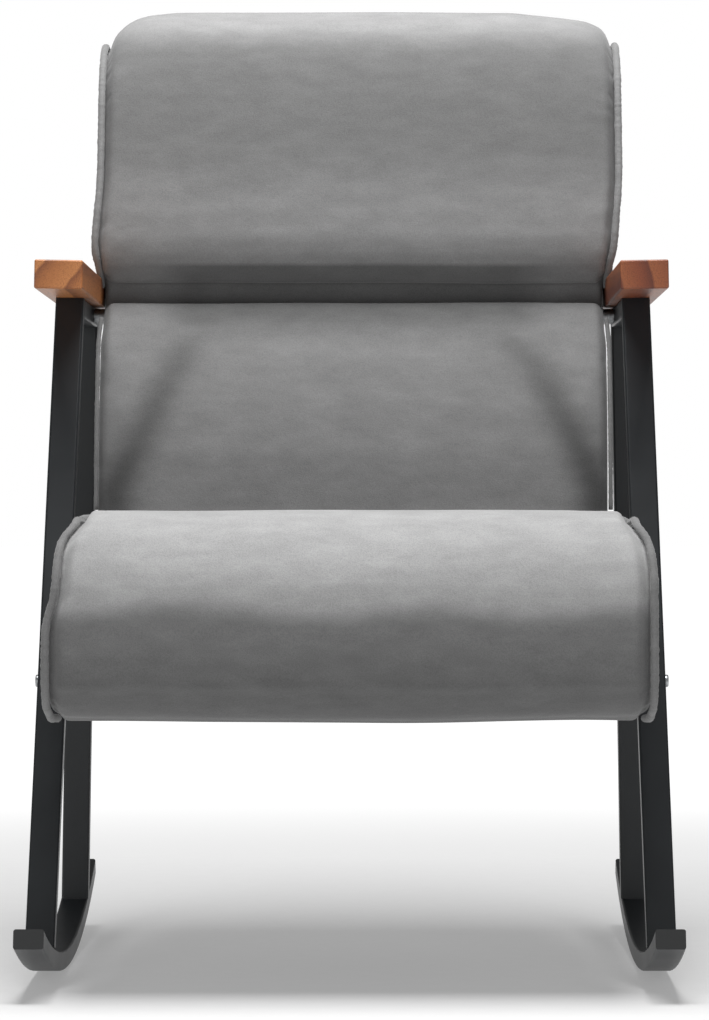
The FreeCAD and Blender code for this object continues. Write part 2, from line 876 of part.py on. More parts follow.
# ---------------------------------------------------------------- the chair

def build():
    nodes = {}

    def pair(name, shape):
        nodes[name + "_left"] = shape
        nodes[name + "_right"] = mirrored(shape)

    all_points = seat_bolts() + back_bolts()

    pair("rocker", make_rocker())
    pair("front_leg", make_leg(front_foot_y, front_leg_lean))
    pair("rear_leg", make_leg(rear_foot_y, rear_leg_lean))
    pair("seat_rail", make_seat_rail())
    pair("arm_rail", make_arm_rail())
    nodes["rocker_end_caps"] = both_sides(make_rocker_caps())

    pair("armrest", make_armrest())
    nodes["armrest_screws"] = both_sides(make_arm_screws())

    nodes["frame_bolts"] = both_sides([make_bolt(point) for point in all_points])
    nodes["frame_washers"] = both_sides([make_washer(point) for point in all_points])
    seat_spacers = [make_spacer(point, seat_half_width - fabric) for point in seat_bolts()]
    back_spacers = [make_spacer(point, back_half_width - fabric) for point in back_bolts()]
    nodes["frame_spacers"] = both_sides(seat_spacers + back_spacers)
    nodes["tee_nuts"] = both_sides([make_tee_nut(point) for point in all_points])

    screw_points = plate_screw_points()
    side_rail = make_seat_side_rail()
    pair("seat_side_rail", drill(side_rail, screw_points, 0, inner_face - plate_thickness
                                 + plate_screw_length, plate_screw))
    nodes["seat_front_rail"] = make_seat_front_rail()
    nodes["seat_rear_rail"] = make_seat_rear_rail()
    nodes["seat_corner_blocks"] = both_sides(make_corner_blocks())
    nodes["seat_cross_straps"] = Part.makeCompound(make_cross_straps())
    nodes["seat_long_straps"] = Part.makeCompound(make_long_straps())
    nodes["seat_foam"] = make_seat_foam()
    nodes["seat_front_roll"] = make_front_roll()
    nodes["seat_cover"] = slotted(make_seat_cover())
    nodes["seat_dust_cover"] = make_dust_cover()
    pair("seat_piping", make_seat_piping())

    stile = drill(make_back_stile(), screw_points, 0, inner_face - plate_thickness
                  + plate_screw_length, plate_screw)
    pair("back_stile", stile)
    nodes["back_top_rail"] = make_back_rail(back_top_rail)
    nodes["back_middle_rail"] = make_back_rail(back_middle_rail)
    nodes["back_bottom_rail"] = make_back_bottom_rail()
    nodes["back_straps"] = Part.makeCompound(make_back_straps())
    nodes["back_foam"] = make_back_foam()
    nodes["head_roll_foam"] = make_head_foam()
    nodes["back_cover"] = slotted(make_back_cover())
    nodes["back_rear_panel"] = make_rear_panel()
    pair("back_piping", make_back_piping())
    pair("lower_back_piping", make_lower_back_piping())

    nodes["joining_plates"] = both_sides([make_joining_plate()])
    nodes["joining_plate_screws"] = both_sides([make_plate_screw(point) for point in screw_points])
    return nodes


def export(nodes):
    """Move the chair so that its origin is the bottom centre of its box, and write it."""
    whole = FreeCAD.BoundBox()
    for shape in nodes.values():
        whole.add(shape.optimalBoundingBox(False))
    offset = V(0, -(whole.YMin + whole.YMax) / 2, -whole.ZMin)
    os.makedirs("parts", exist_ok=True)
    for name, shape in nodes.items():
        placed = shape.copy()
        placed.translate(offset)
        placed.exportStep("parts/" + name + ".step")
    print("nodes", len(nodes), "offset", round(offset.y, 3), round(offset.z, 3))
    print("size", round(whole.XLength, 1), round(whole.YLength, 1), round(whole.ZLength, 1))


export(build())
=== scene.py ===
# %% [markdown]
# # An upholstered rocking chair
# Two side frames of black steel tube stand on curved rockers and carry wooden armrests.
# Between them sit a padded seat with a wide front roll and a padded back with a head roll,
# both covered in grey velvet. The steel, the wood and the hidden timber come from the CAD
# model and keep their shapes, so this lesson gives them finishes. Everything soft is
# modelled here, because cloth bulges, creases and gathers in ways that a CAD solid doesn't.

import math

import bpy
import numpy as np
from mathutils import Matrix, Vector, noise


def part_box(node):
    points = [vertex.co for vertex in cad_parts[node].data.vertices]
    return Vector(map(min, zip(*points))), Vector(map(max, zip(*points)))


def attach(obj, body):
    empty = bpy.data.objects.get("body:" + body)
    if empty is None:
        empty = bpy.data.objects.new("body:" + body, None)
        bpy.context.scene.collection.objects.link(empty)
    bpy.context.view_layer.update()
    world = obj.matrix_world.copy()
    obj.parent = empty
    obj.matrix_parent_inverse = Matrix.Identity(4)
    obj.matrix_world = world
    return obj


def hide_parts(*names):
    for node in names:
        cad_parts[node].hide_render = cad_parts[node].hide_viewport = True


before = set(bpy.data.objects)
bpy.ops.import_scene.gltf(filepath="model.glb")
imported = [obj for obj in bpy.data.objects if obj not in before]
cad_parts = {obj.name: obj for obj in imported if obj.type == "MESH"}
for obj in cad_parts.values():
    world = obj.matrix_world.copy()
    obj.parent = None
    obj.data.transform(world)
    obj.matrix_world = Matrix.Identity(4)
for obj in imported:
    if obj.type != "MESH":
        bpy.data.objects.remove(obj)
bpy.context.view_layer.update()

# %% [markdown]
# ## Small tools
# An operator acts on whatever is selected, so each step starts by selecting one object only.
# In edit mode, faces are picked by a test on their centre and normal, which says in words
# what a hand would click on.

# %% Selecting
def only(piece):
    """Make one object the only one selected, and the active one."""
    bpy.ops.object.select_all(action="DESELECT")
    piece.select_set(True)
    bpy.context.view_layer.objects.active = piece
    return piece


def smooth_step(low, high, value):
    """0 below low, 1 above high, and an easy curve between them, for numbers or arrays."""
    share = np.clip((value - low) / (high - low), 0.0, 1.0)
    return share * share * (3 - 2 * share)


def read_points(piece, normals=False):
    """A mesh's points, or its normals at the points, as rows of x, y, z."""
    rows = np.empty(len(piece.data.vertices) * 3)
    piece.data.vertices.foreach_get("normal" if normals else "co", rows)
    return rows.reshape(-1, 3)


def write_points(piece, rows):
    """Put a mesh's points back where the rows say."""
    piece.data.vertices.foreach_set("co", rows.ravel())
    piece.data.update()


print("tools ready")

# %% [markdown]
# ## The camera
# A long lens, held level a little above the seat, keeps the two side frames nearly
# parallel. It stands 38 mm to one side of the middle. The small shift frames the chair
# without tipping the camera, so that upright lines stay upright.

# %% Camera
bpy.ops.object.camera_add(location=(0.0384, -4.5725, 0.5108), rotation=(math.radians(90), 0, 0))
camera = bpy.context.object
camera.name = "camera"
camera.data.sensor_width = 36.0
camera.data.lens = 151.2
camera.data.shift_x = -0.0336
camera.data.shift_y = -0.0255
bpy.context.scene.camera = camera
print("camera with a", camera.data.lens, "mm lens")

# %% [markdown]
# ## The studio
# A pale floor and soft light. The main light is a large panel overhead, a little in front,
# which brightens the top of the seat and of the head roll and lets their undersides fall
# dark. Two weak panels at the front corners fill the front just enough to show its folds.

# %% Floor
scene = bpy.context.scene
scene.view_settings.view_transform = "Standard"
bpy.ops.mesh.primitive_plane_add(size=60.0, location=(0, 0, 0))
floor = bpy.context.object
floor.name = "floor"
print("floor at height 0")


# %% Lights
def softbox(name, place, aim, size, power):
    """A square panel of light that faces the point aim."""
    bpy.ops.object.light_add(type="AREA", location=place)
    lamp = bpy.context.object
    lamp.name = name
    lamp.data.shape = "SQUARE"
    lamp.data.size = size
    lamp.data.energy = power
    lamp.rotation_euler = (Vector(aim) - Vector(place)).to_track_quat("-Z", "Y").to_euler()
    return lamp


softbox("light_top", (0.0, -0.40, 2.5), (0, 0.0, 0.5), 1.3, 76.0)
softbox("light_front_left", (-1.30, -2.9, 1.02), (0, 0, 0.6), 0.6, 7.0)
softbox("light_front_right", (1.30, -2.9, 1.02), (0, 0, 0.6), 0.6, 6.0)
print("three panels of light")

# %% [markdown]
# ## Building materials
# A material starts from a name, a colour and a roughness. Colours are written as on a
# paint card, in sRGB, and one function turns them into the linear values that Blender
# mixes. One function adds a node, sets it and links it. Patterns are placed in Object
# coordinates, which are metres here, so a scale of 1000 means a pattern of about 1 mm.

# %% Colour and nodes
def linear(hex_colour):
    """An sRGB colour such as #8a8a8a as linear red, green, blue and alpha."""
    parts = [int(hex_colour[i:i + 2], 16) / 255 for i in (1, 3, 5)]
    return [c / 12.92 if c <= 0.04045 else ((c + 0.055) / 1.055) ** 2.4 for c in parts] + [1.0]


def add(tree, kind, settings=None, links=None, **values):
    """Add a node: settings are its own fields, values its sockets, links its inputs."""
    made = tree.nodes.new(kind)
    for field, value in (settings or {}).items():
        setattr(made, field, value)
    for socket, value in values.items():
        made.inputs[socket.replace("_", " ")].default_value = value
    for socket, source in (links or {}).items():
        tree.links.new(source, made.inputs[socket])
    return made


def new_material(name, **shader):
    """A material with its Principled shader, whose fixed values are set on its own sockets."""
    material = bpy.data.materials.new(name)
    material.use_nodes = True
    principled = material.node_tree.nodes["Principled BSDF"]
    for socket, value in shader.items():
        principled.inputs[socket.replace("_", " ")].default_value = value
    return material, material.node_tree, principled


def ramp(tree, factor, stops):
    """A colour ramp from (position, colour) stops."""
    made = add(tree, "ShaderNodeValToRGB", links={"Fac": factor})
    bands = made.color_ramp.elements
    while len(bands) < len(stops):
        bands.new(0.5)
    for band, (position, colour) in zip(bands, stops):
        band.position = position
        band.color = linear(colour)
    return made.outputs["Color"]


print("material tools ready")

# %% [markdown]
# ## The studio's own surfaces
# The floor is matt pale paper that glows faintly, and more so away from the chair, as a lit
# studio sweep does. The air around is white where it is looked at, and dimmer as a light, so
# that the panels shape the chair and the white room alone doesn't.

# %% Paper and air
paper, tree, principled = new_material("white_studio_paper", Roughness=0.9)
principled.inputs["Specular IOR Level"].default_value = 0.1
place = add(tree, "ShaderNodeTexCoord").outputs["Object"]
fibres = add(tree, "ShaderNodeTexNoise", links={"Vector": place}, Scale=40.0, Detail=3.0)
tree.links.new(ramp(tree, fibres.outputs["Fac"], [(0.0, "#c6c6c6"), (1.0, "#cbcbcb")]),
               principled.inputs["Base Color"])
distance = add(tree, "ShaderNodeVectorMath", {"operation": "LENGTH"}, {"Vector": place})
glow = add(tree, "ShaderNodeMapRange", {"interpolation_type": "SMOOTHSTEP"},
           {"Value": distance.outputs["Value"]},
           From_Min=0.7, From_Max=3.2, To_Min=0.28, To_Max=0.95)
tree.links.new(glow.outputs["Result"], principled.inputs["Emission Strength"])
principled.inputs["Emission Color"].default_value = (1, 1, 1, 1)
floor.data.materials.append(paper)

air = bpy.data.worlds.new("studio_air")
air.use_nodes = True
scene.world = air
tree = air.node_tree
seen = add(tree, "ShaderNodeLightPath").outputs["Is Camera Ray"]
strength = add(tree, "ShaderNodeMapRange", links={"Value": seen}, To_Min=0.16, To_Max=1.0)
background = tree.nodes["Background"]
background.inputs["Color"].default_value = (1, 1, 1, 1)
tree.links.new(strength.outputs["Result"], background.inputs["Strength"])
print("floor and air ready")

# %% [markdown]
# ## Powder-coated steel
# The side frames are welded from rectangular tube and powder coated: charged plastic powder
# is baked into a thick black skin. It gives the eye a satin, slightly pebbled surface with
# soft highlights along the rounded corners. The pebbles are about 0.8 mm across.

# %% Steel
def powder_coat():
    """Black satin powder coat."""
    coat, tree, principled = new_material("powder_coated_steel", Roughness=0.4, IOR=1.5)
    place = add(tree, "ShaderNodeTexCoord").outputs["Object"]
    cloud = add(tree, "ShaderNodeTexNoise", links={"Vector": place}, Scale=14.0, Detail=4.0)
    shade = ramp(tree, cloud.outputs["Fac"], [(0.3, "#14171a"), (0.7, "#191d20")])
    tree.links.new(shade, principled.inputs["Base Color"])
    spread = add(tree, "ShaderNodeMapRange", links={"Value": cloud.outputs["Fac"]},
                 To_Min=0.34, To_Max=0.46)
    tree.links.new(spread.outputs["Result"], principled.inputs["Roughness"])
    pebble = add(tree, "ShaderNodeTexNoise", links={"Vector": place}, Scale=1250.0, Detail=1.0)
    bump = add(tree, "ShaderNodeBump", links={"Height": pebble.outputs["Fac"]},
               Strength=0.25, Distance=0.0002)
    tree.links.new(bump.outputs["Normal"], principled.inputs["Normal"])
    return coat


def zinc_plate():
    """Bright zinc-plated steel of bolts, washers and screws, a little cloudy."""
    zinc, tree, principled = new_material("zinc_plated_steel", Metallic=1.0)
    place = add(tree, "ShaderNodeTexCoord").outputs["Object"]
    cloud = add(tree, "ShaderNodeTexNoise", links={"Vector": place}, Scale=320.0, Detail=5.0)
    tree.links.new(ramp(tree, cloud.outputs["Fac"], [(0.35, "#8d9091"), (0.65, "#b4b6b8")]),
                   principled.inputs["Base Color"])
    dull = add(tree, "ShaderNodeMapRange", links={"Value": cloud.outputs["Fac"]},
               To_Min=0.28, To_Max=0.42)
    tree.links.new(dull.outputs["Result"], principled.inputs["Roughness"])
    return zinc


def moulded_black():
    """Black polypropylene of the tube plugs, with a fine spark-eroded mould texture."""
    plug, tree, principled = new_material("moulded_polypropylene", Roughness=0.5, IOR=1.49)
    place = add(tree, "ShaderNodeTexCoord").outputs["Object"]
    grit = add(tree, "ShaderNodeTexNoise", links={"Vector": place}, Scale=2500.0, Detail=2.0)
    tree.links.new(ramp(tree, grit.outputs["Fac"], [(0.3, "#222323"), (0.7, "#2b2c2d")]),
                   principled.inputs["Base Color"])
    bump = add(tree, "ShaderNodeBump", links={"Height": grit.outputs["Fac"]},
               Strength=0.3, Distance=0.0001)
    tree.links.new(bump.outputs["Normal"], principled.inputs["Normal"])
    return plug


print("steel, zinc and plastic ready")

# %% [markdown]
# ## Wood
# A board is cut from a tree, so its pattern is solid: rings round an axis, seen as arcs on
# the end and as long lines along the faces. The armrests are oiled rubberwood, orange-brown
# with fine dark pores. The hidden rails are plain sawn pine. One function makes both, with
# the tree's axis along the board and the rings about 5 mm apart.

# %% Wood grain
def wood(name, heart, pale, dark, heartwood, ring, pore, roughness, coat):
    """Wood whose tree axis runs through the point heart, along Y, with rings that far apart."""
    board, tree, principled = new_material(name, Roughness=roughness, IOR=1.5, Coat_Weight=coat,
                                           Coat_Roughness=0.3)
    place = add(tree, "ShaderNodeTexCoord").outputs["Object"]
    turn = add(tree, "ShaderNodeMapping", links={"Vector": place},
               Location=heart, Rotation=(0.035, 0.0, 0.05), Scale=(1.0, 0.07, 1.0))
    wobble = add(tree, "ShaderNodeTexNoise", links={"Vector": turn.outputs["Vector"]},
                 Scale=26.0, Detail=3.0, Roughness=0.55)
    shifted = add(tree, "ShaderNodeVectorMath", {"operation": "MULTIPLY_ADD"},
                  {0: wobble.outputs["Color"], 2: turn.outputs["Vector"]})
    shifted.inputs[1].default_value = (0.012, 0.0, 0.012)
    rings = add(tree, "ShaderNodeTexWave",
                {"wave_type": "RINGS", "rings_direction": "Y", "wave_profile": "SAW"},
                {"Vector": shifted.outputs["Vector"]},
                Scale=1 / (20 * ring), Distortion=1.2, Detail=2.0, Detail_Scale=1.5)
    grain = ramp(tree, rings.outputs["Fac"], [(0.0, pale), (0.62, heartwood), (0.93, dark),
                                              (1.0, pale)])
    fibre_place = add(tree, "ShaderNodeMapping", links={"Vector": place}, Scale=(1.0, 0.035, 1.0))
    fibre = add(tree, "ShaderNodeTexNoise", links={"Vector": fibre_place.outputs["Vector"]},
                Scale=1.0 / pore, Detail=4.0, Roughness=0.6)
    streak = ramp(tree, fibre.outputs["Fac"], [(0.36, "#a89888"), (0.5, "#efe9e2"),
                                               (0.7, "#ffffff")])
    mixed = add(tree, "ShaderNodeMix", {"data_type": "RGBA", "blend_type": "MULTIPLY"})
    mixed.inputs["Factor"].default_value = 0.75
    tree.links.new(grain, mixed.inputs[6])
    tree.links.new(streak, mixed.inputs[7])
    tree.links.new(mixed.outputs[2], principled.inputs["Base Color"])
    bump = add(tree, "ShaderNodeBump", links={"Height": fibre.outputs["Fac"]},
               Strength=0.25, Distance=0.0003)
    tree.links.new(bump.outputs["Normal"], principled.inputs["Normal"])
    return board


print("wood ready")

# %% [markdown]
# ## Velvet
# The cover is a short-pile velvet. Its pile stands about 1 mm high and lies in soft patches
# where a hand has brushed it, so the same cloth looks lighter and darker in turns. Velvet
# scatters light at its edges, which is the shader's sheen. The fine noise is the pile
# itself, about 1.2 mm across, drawn a little coarser than the real threads so that it shows.
# Each cushion also carries an attribute of painted light and shade that scales the cloth's
# colour: above 0 is lighter, as painted light, and below 0 darker, as painted shade.
# Its values are set for each cushion below.

# %% Velvet
def velvet():
    """Short-pile grey velvet with brushed patches."""
    cloth, tree, principled = new_material("short_pile_velvet", Roughness=0.9, IOR=1.45,
                                           Sheen_Weight=0.35, Sheen_Roughness=0.4)
    principled.inputs["Specular IOR Level"].default_value = 0.15
    principled.inputs["Sheen Tint"].default_value = linear("#d8d8d8")
    place = add(tree, "ShaderNodeTexCoord").outputs["Object"]
    along = add(tree, "ShaderNodeMapping", links={"Vector": place}, Scale=(0.45, 1.0, 1.0))
    patches = add(tree, "ShaderNodeTexNoise", links={"Vector": along.outputs["Vector"]},
                  Scale=55.0, Detail=4.0, Roughness=0.6)
    brushed = ramp(tree, patches.outputs["Fac"], [(0.3, "#747474"), (0.5, "#797979"),
                                                  (0.72, "#7f7f7f")])
    pile = add(tree, "ShaderNodeTexNoise", links={"Vector": place},
               Scale=800.0, Detail=2.0, Roughness=0.7)
    tips = ramp(tree, pile.outputs["Fac"], [(0.3, "#c9c9c9"), (0.6, "#ffffff")])
    mixed = add(tree, "ShaderNodeMix", {"data_type": "RGBA", "blend_type": "MULTIPLY"})
    mixed.inputs["Factor"].default_value = 0.5
    tree.links.new(brushed, mixed.inputs[6])
    tree.links.new(tips, mixed.inputs[7])
    # painted light and shade, stored at each point of a cushion, scales the cloth's colour
    painted_light_shade_factor = add(tree, "ShaderNodeAttribute", {"attribute_name": "painted_light_shade"}).outputs["Fac"]
    shade = add(tree, "ShaderNodeMath", {"operation": "ADD"}, {0: painted_light_shade_factor})
    shade.inputs[1].default_value = 1.0
    velvet_with_painted_light_shade = add(tree, "ShaderNodeVectorMath", {"operation": "SCALE"},
                 {"Vector": mixed.outputs[2], "Scale": shade.outputs["Value"]})
    tree.links.new(velvet_with_painted_light_shade.outputs["Vector"], principled.inputs["Base Color"])
    rumple = add(tree, "ShaderNodeTexNoise", links={"Vector": place}, Scale=70.0, Detail=3.0)
    soft = add(tree, "ShaderNodeBump", links={"Height": rumple.outputs["Fac"]},
               Strength=0.35, Distance=0.0012)
    fine = add(tree, "ShaderNodeBump", links={"Height": pile.outputs["Fac"],
                                              "Normal": soft.outputs["Normal"]},
               Strength=0.45, Distance=0.0006)
    tree.links.new(fine.outputs["Normal"], principled.inputs["Normal"])
    return cloth


print("velvet ready")

# %% [markdown]
# ## Hidden cloths and foam
# Under the velvet lie jute webbing, foam, and a thin black lining below the seat. They show
# only from underneath or when the chair is taken apart, but each has its own surface: crossed
# threads 3 mm apart for the webbing, open cells for the foam, pressed fibres for the lining.

# %% Webbing, foam and lining
def woven(name, light, dark, thread, roughness):
    """Plain-woven threads that cross at right angles, that far apart."""
    cloth, tree, principled = new_material(name, Roughness=roughness)
    place = add(tree, "ShaderNodeTexCoord").outputs["Object"]
    threads = []
    for direction in ("X", "DIAGONAL"):
        wave = add(tree, "ShaderNodeTexWave", {"wave_type": "BANDS", "bands_direction": direction},
                   {"Vector": place}, Scale=1 / (6.3 * thread), Distortion=0.6)
        threads.append(wave.outputs["Fac"])
    crossed = add(tree, "ShaderNodeMath", {"operation": "MULTIPLY"},
                  {0: threads[0], 1: threads[1]})
    tree.links.new(ramp(tree, crossed.outputs["Value"], [(0.0, dark), (0.7, light)]),
                   principled.inputs["Base Color"])
    bump = add(tree, "ShaderNodeBump", links={"Height": crossed.outputs["Value"]},
               Strength=0.5, Distance=0.0006)
    tree.links.new(bump.outputs["Normal"], principled.inputs["Normal"])
    return cloth


def fibrous(name, light, dark, size, roughness):
    """A surface of small cells or pressed fibres of that size."""
    mat, tree, principled = new_material(name, Roughness=roughness)
    place = add(tree, "ShaderNodeTexCoord").outputs["Object"]
    cells = add(tree, "ShaderNodeTexVoronoi", links={"Vector": place}, Scale=1 / size)
    tree.links.new(ramp(tree, cells.outputs["Distance"], [(0.0, dark), (0.6, light)]),
                   principled.inputs["Base Color"])
    bump = add(tree, "ShaderNodeBump", links={"Height": cells.outputs["Distance"]},
               Strength=0.4, Distance=0.0005)
    tree.links.new(bump.outputs["Normal"], principled.inputs["Normal"])
    return mat


pale_board = wood("oiled_rubberwood_pale", (-0.03, 0.0, -0.52), "#b97a45", "#814a24", "#a56735",
                  0.005, 0.0011, 0.45, 0.12)
finishes = {
    "frame_steel": powder_coat(),
    "fastener_steel": zinc_plate(),
    "cap_plastic": moulded_black(),
    "armrest_wood": wood("oiled_rubberwood_red", (0.02, 0.0, -0.66), "#91522c", "#602a14",
                         "#7d3d1d", 0.005, 0.0011, 0.45, 0.12),
    "timber": wood("sawn_pine", (0.0, 0.0, 0.1), "#dcc196", "#b08a58", "#cfae7c",
                   0.006, 0.0015, 0.75, 0.0),
    "velvet": velvet(),
    "lining": fibrous("pressed_black_lining", "#242424", "#161616", 0.0012, 0.95),
    "foam": fibrous("open_cell_foam", "#efe8d2", "#c8bd9c", 0.0025, 0.95),
    "webbing": woven("jute_webbing", "#a08c66", "#5c4d34", 0.003, 0.9),
}
print(len(finishes), "finishes ready")

# %% [markdown]
# ## Finishes on the CAD pieces
# Each CAD piece already says which slot of the record it belongs to, in the name of its
# material, so a loop over the pieces gives every one its finish.

# %% Dress the frame
for name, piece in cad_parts.items():
    for held in piece.material_slots:
        held.material = finishes[held.material.name.split(".")[0]]
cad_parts["armrest_right"].material_slots[0].material = pale_board
print("finishes on", len(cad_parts), "CAD pieces")

# %% [markdown]
# ## Making a cushion
# A cushion is foam in a sewn cover, so it starts as the foam: a loft of rectangles, each
# extruded from the last and resized, which is quick to shape along a curved outline. A voxel
# remesh turns it into even small squares. Then each free point moves out along its normal,
# which crowns the cover between its seams. The cover is also simulated as cloth under a
# little pressure, with the sewn edges and the faces that rest on something pinned. By itself
# the cloth draws in over its foam, so only a small share of its movement is added, for the
# creases. Wrinkles come last, as small moves of the points, because a remesh would melt them.

# %% Loft
def loft(name, rows):
    """A closed block from rows of (height, front, rear, half width), bottom row first."""
    height, front, rear, half = rows[0]
    bpy.ops.mesh.primitive_plane_add(size=1.0, location=(0, (front + rear) / 2, height))
    block = bpy.context.object
    block.name = name
    block.scale = (2 * half, rear - front, 1)
    only(block)
    bpy.ops.object.transform_apply(location=True, rotation=True, scale=True)
    bpy.ops.object.mode_set(mode="EDIT")
    bpy.ops.mesh.select_all(action="SELECT")
    for (z0, f0, r0, h0), (z1, f1, r1, h1) in zip(rows, rows[1:]):
        shift = ((f1 + r1) - (f0 + r0)) / 2
        bpy.ops.mesh.extrude_region_move(TRANSFORM_OT_translate={"value": (0, shift, z1 - z0)})
        bpy.ops.transform.resize(value=(h1 / h0, (r1 - f1) / (r0 - f0), 1),
                                 center_override=(0, (f1 + r1) / 2, z1))
    bpy.ops.mesh.select_all(action="SELECT")
    bpy.ops.mesh.normals_make_consistent(inside=False)
    bpy.ops.object.mode_set(mode="OBJECT")
    return block


def even_squares(piece, size):
    """Remesh a closed block into even squares of that size."""
    only(piece)
    remesh = piece.modifiers.new("squares", "REMESH")
    remesh.mode = "VOXEL"
    remesh.voxel_size = size
    bpy.ops.object.modifier_apply(modifier=remesh.name)
    print(piece.name, "has", len(piece.data.polygons), "squares")


print("loft ready")


# %% Fill the cover
cloth_share = 0.25      # of the cloth's own movement
cloth_steps = 20
no_move = 1e-9


def fill_cover(piece, hold, cap):
    """Swell the cover over its filling, and simulate it as cloth under pressure for its creases.
    For each point, hold is 1 where it is sewn down or rests on something, and cap is how far
    it may move."""
    only(piece)
    before = read_points(piece)
    swell = read_points(piece, normals=True) * (cap * (1 - hold))[:, None]
    pins = piece.vertex_groups.new(name="sewn")
    pins.add([int(i) for i in np.flatnonzero(hold > 0)], 1.0, "REPLACE")
    cloth = piece.modifiers.new("cover", "CLOTH")
    cloth.settings.quality = 4
    cloth.settings.mass = 0.25
    cloth.settings.tension_stiffness = 8.0
    cloth.settings.compression_stiffness = 8.0
    cloth.settings.shear_stiffness = 4.0
    cloth.settings.bending_stiffness = 0.3
    cloth.settings.use_pressure = True
    cloth.settings.uniform_pressure_force = 4.0
    cloth.settings.effector_weights.gravity = 0.0
    cloth.settings.vertex_group_mass = "sewn"
    cloth.collision_settings.use_collision = False
    for step in range(1, cloth_steps + 1):
        bpy.context.scene.frame_set(step)
    shaped = piece.evaluated_get(bpy.context.evaluated_depsgraph_get())
    after = read_points(shaped)
    piece.modifiers.remove(cloth)
    bpy.context.scene.frame_set(1)
    move = after - before
    far = np.linalg.norm(move, axis=1)
    held = cap * np.tanh(far / np.maximum(cap, 1e-6)) / np.maximum(far, no_move)
    write_points(piece, before + swell + cloth_share * move * held[:, None])
    print(piece.name, "cloth moved up to", round(float(far.max()) * 1000, 1), "mm")


# %% [markdown]
# ## Painted light and shade on the cushions
# The lower back has a soft dark arch on it, a shadow that is painted into the cloth's colour.
# The lower back has a soft dark arch on it, whose cause isn't known: brushed pile or shade.
# Each leg of the arch is a band of painted shadow that follows a line of heights and widths,
# and its crown is a darker zone of painted shade under the waist.

# %% Painted shadow arch
# painted shadow: where the arch's bands lie, and how dark they are
shadow_arch_left = ((0.503, 0.574, 0.644, 0.683, 0.70), (0.265, 0.234, 0.195, 0.156, 0.12))
shadow_arch_right = ((0.503, 0.566, 0.628, 0.683, 0.70), (0.260, 0.229, 0.201, 0.170, 0.12))
shadow_arch_depth = ((0.47, 0.54, 0.66), (0.62, 0.56, 0.30))
shadow_band_width = 0.023
shadow_crown_depth = 0.38


def painted_arch_shadow(points):
    """The painted shadow, a dark arch on the lower back: heights and half widths in metres from
    the floor.
    """
    x, height = points[:, 0], points[:, 2]
    middle = np.where(x > 0, np.interp(height, *shadow_arch_left), np.interp(height, *shadow_arch_right))
    gone = smooth_step(0.70, 0.66, height)
    depth = np.interp(height, *shadow_arch_depth) * gone
    sides = depth * np.exp(-((np.abs(x) - middle) / shadow_band_width) ** 2)
    shade_under_waist = smooth_step(0.655, 0.70, height) * smooth_step(0.235, 0.17, np.abs(x))
    return -np.maximum(sides, shadow_crown_depth * shade_under_waist)


def lay_painted_light_shade(piece, painted_light_shade):
    """Store the painted light and shade at each point of a cushion."""
    piece.data.attributes.new("painted_light_shade", "FLOAT", "POINT").data.foreach_set("value", painted_light_shade)


def finish_cushion(piece, fill, *stands_for):
    only(piece)
    finer = piece.modifiers.new("finer", "SUBSURF")
    finer.levels = finer.render_levels = 1
    bpy.ops.object.modifier_apply(modifier=finer.name)
    bpy.ops.object.shade_smooth()
    piece.vertex_groups.clear()
    piece.data.materials.clear()
    piece.data.materials.append(finishes["velvet"])
    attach(piece, "root")
    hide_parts(*stands_for)
    print(piece.name, "has", len(piece.data.polygons), "faces")


def set_down(piece, lean, origin):
    """Tip a finished piece by lean degrees about X, move it to its origin, and apply both."""
    only(piece)
    piece.rotation_euler = (math.radians(-lean), 0, 0)
    piece.location = origin
    bpy.ops.object.transform_apply(location=True, rotation=True, scale=True)


print("cushion tools ready")

# %% [markdown]
# ## Gathers
# Where the cover is sewn to the welt it is eased in, which leaves short pleats that run
# away from the seam and die out within a few centimetres. Their size and spacing wander,
# as a sewer's hand does. Each pleat is noise that changes quickly along the seam and slowly
# away from it, and a small move of each point along its normal makes it.

# %% Pleats
def nearest_on(line, a, b):
    """For points (a, b), the distance to a line of corners, and how far along it that is."""
    gap = np.full(a.shape, 9.0)
    run_at = np.zeros(a.shape)
    run = 0.0
    for (a0, b0), (a1, b1) in zip(line, line[1:]):
        da, db = a1 - a0, b1 - b0
        length = math.hypot(da, db)
        share = np.clip(((a - a0) * da + (b - b0) * db) / length ** 2, 0.0, 1.0)
        here = np.hypot(a - a0 - share * da, b - b0 - share * db)
        closer = here < gap
        gap = np.where(closer, here, gap)
        run_at = np.where(closer, run + share * length, run_at)
        run += length
    return gap, run_at


def pleat(along, away, pitch, reach, seed):
    """A pleat's height, about -1 to 1, along a seam and away from it, both in metres."""
    drift = noise.noise(Vector((along / (pitch * 3.1), seed, away / reach * 0.6)))
    fold = noise.noise(Vector((along / pitch + 1.6 * drift, seed + 7.0, away / reach * 0.5)))
    swell = 0.55 + 0.9 * noise.noise(Vector((along / (pitch * 5.0), seed + 3.0, 0.0)))
    near = smooth_step(0.0, 0.35 * reach, away)
    return 1.6 * fold * max(swell, 0.1) * near * math.exp(-away / reach)


def gather(piece, half, line, reach_in, seed, size):
    """Pleat the cover beside the seams at x = half and -half that follow the line, for points
    within reach_in of the line."""
    points = read_points(piece)
    normals = read_points(piece, normals=True)
    gap, run = nearest_on(line, points[:, 1], points[:, 2])
    away = half - np.abs(points[:, 0])
    for index in np.flatnonzero((gap < reach_in) & (away > 0) & (away < 0.11)):
        side = seed + (1.0 if points[index, 0] > 0 else -1.0)
        lift = pleat(run[index], away[index], 0.017, 0.026, side) * 0.0022
        lift += pleat(run[index], away[index], 0.008, 0.012, side + 20.0) * 0.0010
        points[index] += normals[index] * lift * size
    write_points(piece, points)


